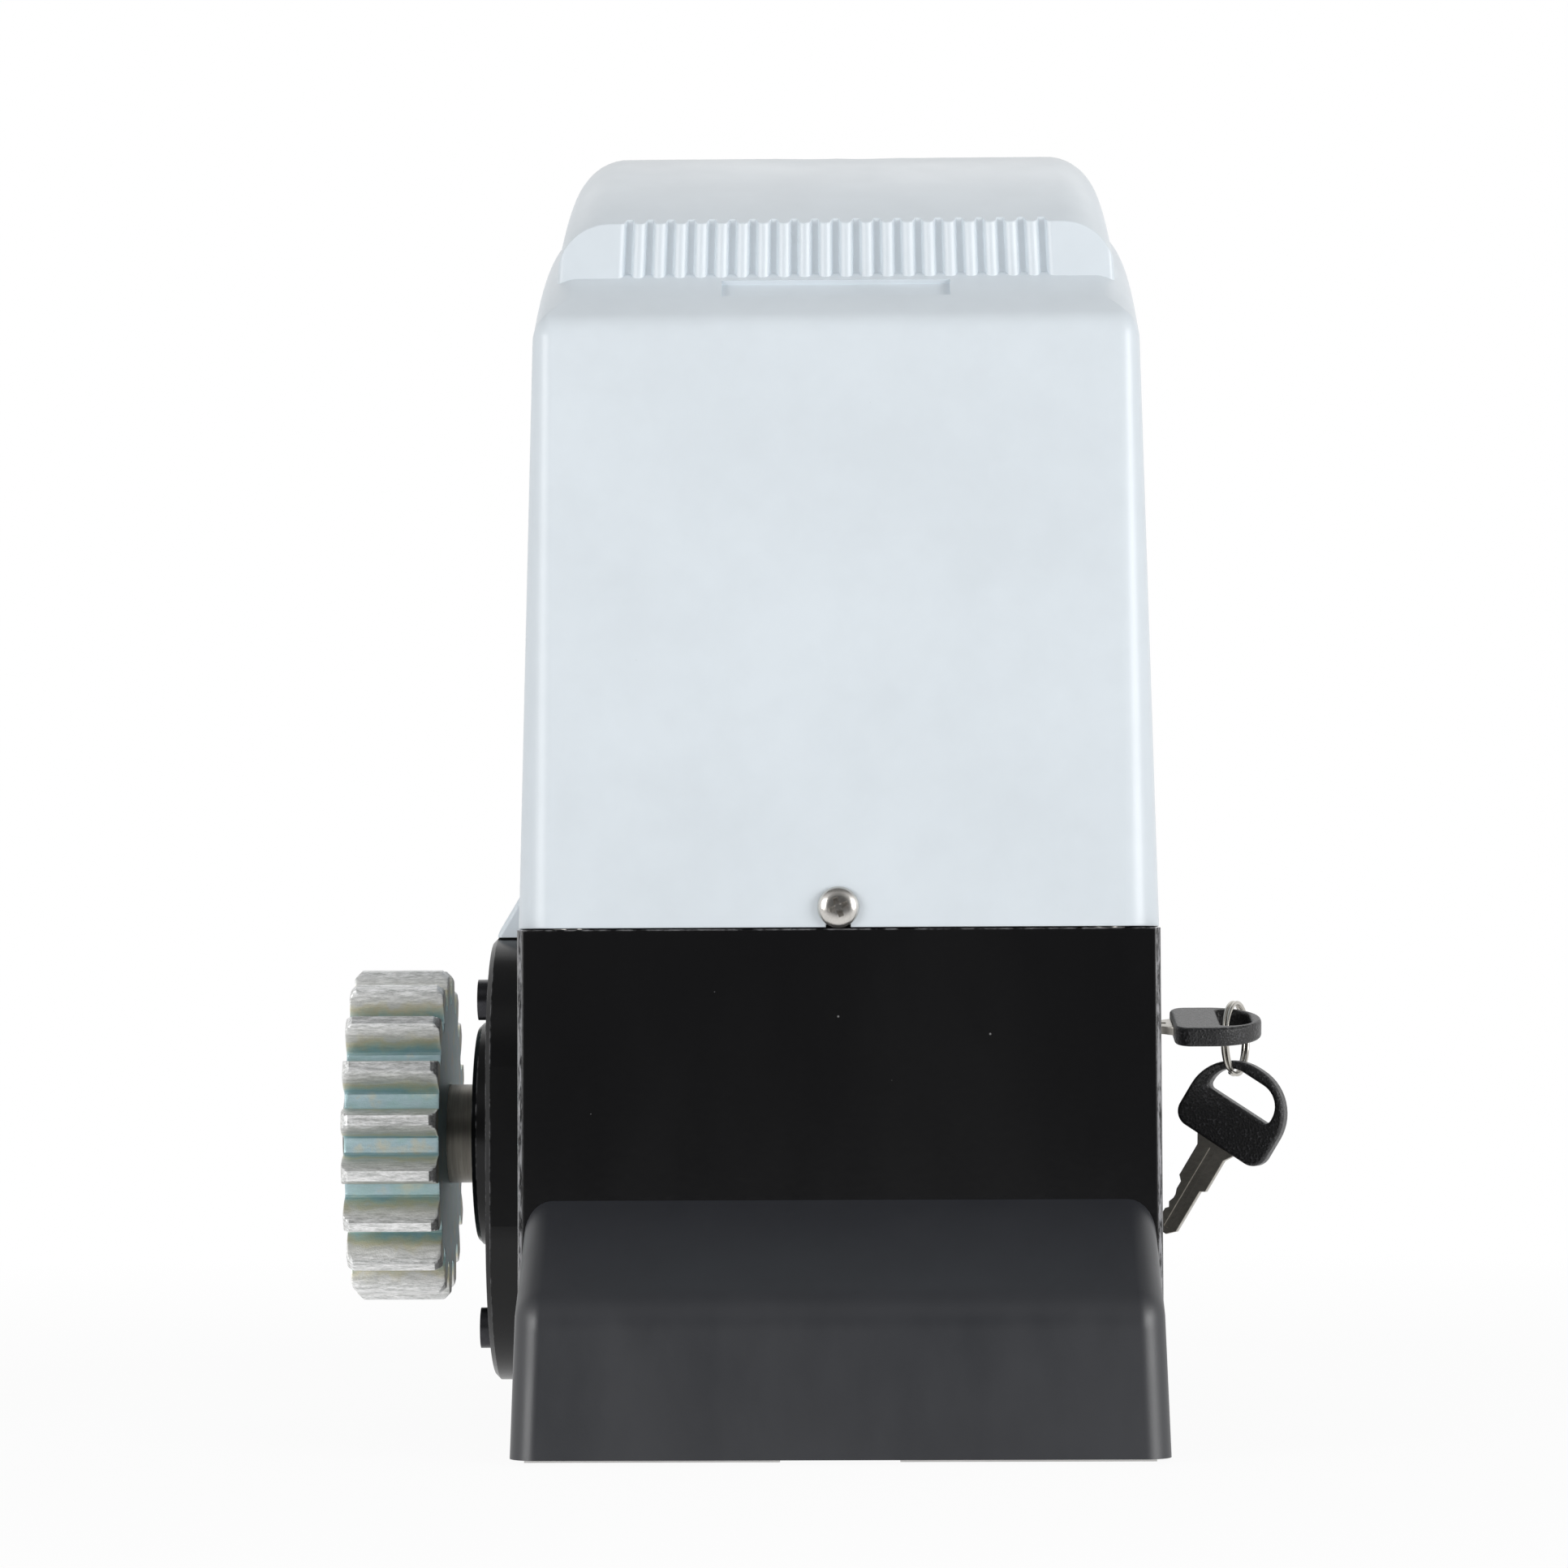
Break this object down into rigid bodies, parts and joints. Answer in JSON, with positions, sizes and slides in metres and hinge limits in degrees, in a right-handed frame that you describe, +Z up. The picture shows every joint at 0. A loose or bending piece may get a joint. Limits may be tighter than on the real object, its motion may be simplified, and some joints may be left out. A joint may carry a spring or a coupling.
{
  "type": "sliding gate motor",
  "caption": "Sliding gate motor with a moulded cover over a cast gearbox, an output pinion on one side and a key release on the other.",
  "frame": {"origin": "middle of the casing's base, on the face that stands on the foundation", "axes": "+Z up; -X is the gate side with the pinion, +X the yard side with the release lock; the ends with the foot covers face -Y and +Y"},
  "size_m": [0.2366, 0.2838, 0.3181],
  "materials": {
    "casing_black": "gloss black paint",
    "cover_grey": "satin moulded plastic",
    "foot_cover_black": "satin moulded plastic",
    "flange_black": "gloss black paint",
    "cast_aluminium": "as cast",
    "zinc_steel": "zinc plated",
    "machined_steel": "turned",
    "bronze": "hobbed",
    "bearing_steel": "ground",
    "screw_steel": "stainless",
    "spring_steel": "blackened",
    "rubber_black": "matt",
    "lamination_steel": "laminated",
    "copper_wire": "enamelled",
    "rotor_aluminium": "as cast",
    "capacitor_white": "gloss",
    "board_green": "satin",
    "terminal_green": "satin",
    "relay_black": "satin",
    "fuse_glass": "gloss",
    "nylon_white": "satin",
    "plug_brass": "turned",
    "lock_chrome": "plated",
    "key_steel": "plated",
    "key_bow_black": "satin with a fine sparkle",
    "ring_steel": "bright"
  },
  "bodies": {
    "housing": {"gearbox_casing": "casing_black", "gearbox_lid": "cast_aluminium", "lid_gasket": "rubber_black", "lid_screws": "screw_steel", "output_flange": "flange_black", "flange_gasket": "rubber_black", "flange_screws": "screw_steel", "output_bearing_gate": "bearing_steel", "output_bearing_yard": "bearing_steel", "shaft_seal": "rubber_black", "worm_bearing_lower": "bearing_steel", "worm_bearing_upper": "bearing_steel", "rotor_bearing_top": "bearing_steel", "motor_barrel": "cast_aluminium", "motor_end_cap": "cast_aluminium", "stator_core": "lamination_steel", "stator_windings": "copper_wire", "motor_tie_bolts": "screw_steel", "cover_post": "zinc_steel", "transformer_core": "lamination_steel", "transformer_coil": "copper_wire", "capacitor": "capacitor_white", "capacitor_clamp": "zinc_steel", "board_bracket": "zinc_steel", "board_spacers": "nylon_white", "control_board": "board_green", "board_terminals": "terminal_green", "board_relays": "relay_black", "board_fuse": "fuse_glass", "limit_sensor": "relay_black", "cable_grommet": "rubber_black", "filler_plug": "plug_brass", "earth_screw": "screw_steel", "top_cover": "cover_grey", "cover_screws": "screw_steel", "cover_top_screw": "screw_steel", "foot_cover_front": "foot_cover_black", "foot_cover_rear": "foot_cover_black", "lock_body": "lock_chrome", "lock_nut": "lock_chrome"},
    "output": {"output_shaft": "machined_steel", "pinion": "zinc_steel", "pinion_key": "zinc_steel", "pinion_circlip": "spring_steel", "worm_wheel": "bronze", "sleeve_key": "machined_steel"},
    "rotor": {"worm_shaft": "machined_steel", "rotor_core": "lamination_steel", "rotor_end_rings": "rotor_aluminium"},
    "clutch": {"clutch_sleeve": "machined_steel"},
    "fork": {"release_fork": "machined_steel"},
    "lock_barrel": {"lock_plug": "lock_chrome", "release_cam": "machined_steel", "release_key_blade": "key_steel", "release_key_bow": "key_bow_black"},
    "ring": {"key_ring": "ring_steel"},
    "spare_key": {"spare_key_blade": "key_steel", "spare_key_bow": "key_bow_black"}
  },
  "joints": [
    {"name": "rotor_spin", "type": "hinge", "parent": "housing", "child": "rotor", "pos_m": [0, 0.0485, 0.07], "axis": [0, 0, 1], "continuous": true},
    {"name": "output_spin", "type": "hinge", "parent": "housing", "child": "output", "pos_m": [0, 0, 0.07], "axis": [1, 0, 0], "continuous": true},
    {"name": "key_turn", "type": "hinge", "parent": "housing", "child": "lock_barrel", "pos_m": [0.07, -0.04, 0.0966], "axis": [1, 0, 0], "range_deg": [0, 90]},
    {"name": "clutch_shift", "type": "slide", "parent": "output", "child": "clutch", "axis": [1, 0, 0], "range_m": [0, 0.005]},
    {"name": "fork_shift", "type": "slide", "parent": "housing", "child": "fork", "axis": [1, 0, 0], "range_m": [0, 0.005]},
    {"name": "ring_swing", "type": "hinge", "parent": "lock_barrel", "child": "ring", "pos_m": [0.0979, -0.02922, 0.09879], "axis": [0.9304, -0.3665, 0], "range_deg": [-10, 45]},
    {"name": "spare_key_swing", "type": "hinge", "parent": "ring", "child": "spare_key", "pos_m": [0.0979, -0.02922, 0.08474], "axis": [-0.3665, -0.9304, 0], "range_deg": [0, 60]}
  ],
  "couplings": [
    {"joint": "output_spin", "follows": "rotor_spin", "ratio": -0.033333},
    {"joint": "key_turn", "follows": "fork_shift", "rad_per_m": 314.16},
    {"joint": "clutch_shift", "follows": "fork_shift", "ratio": 1}
  ]
}
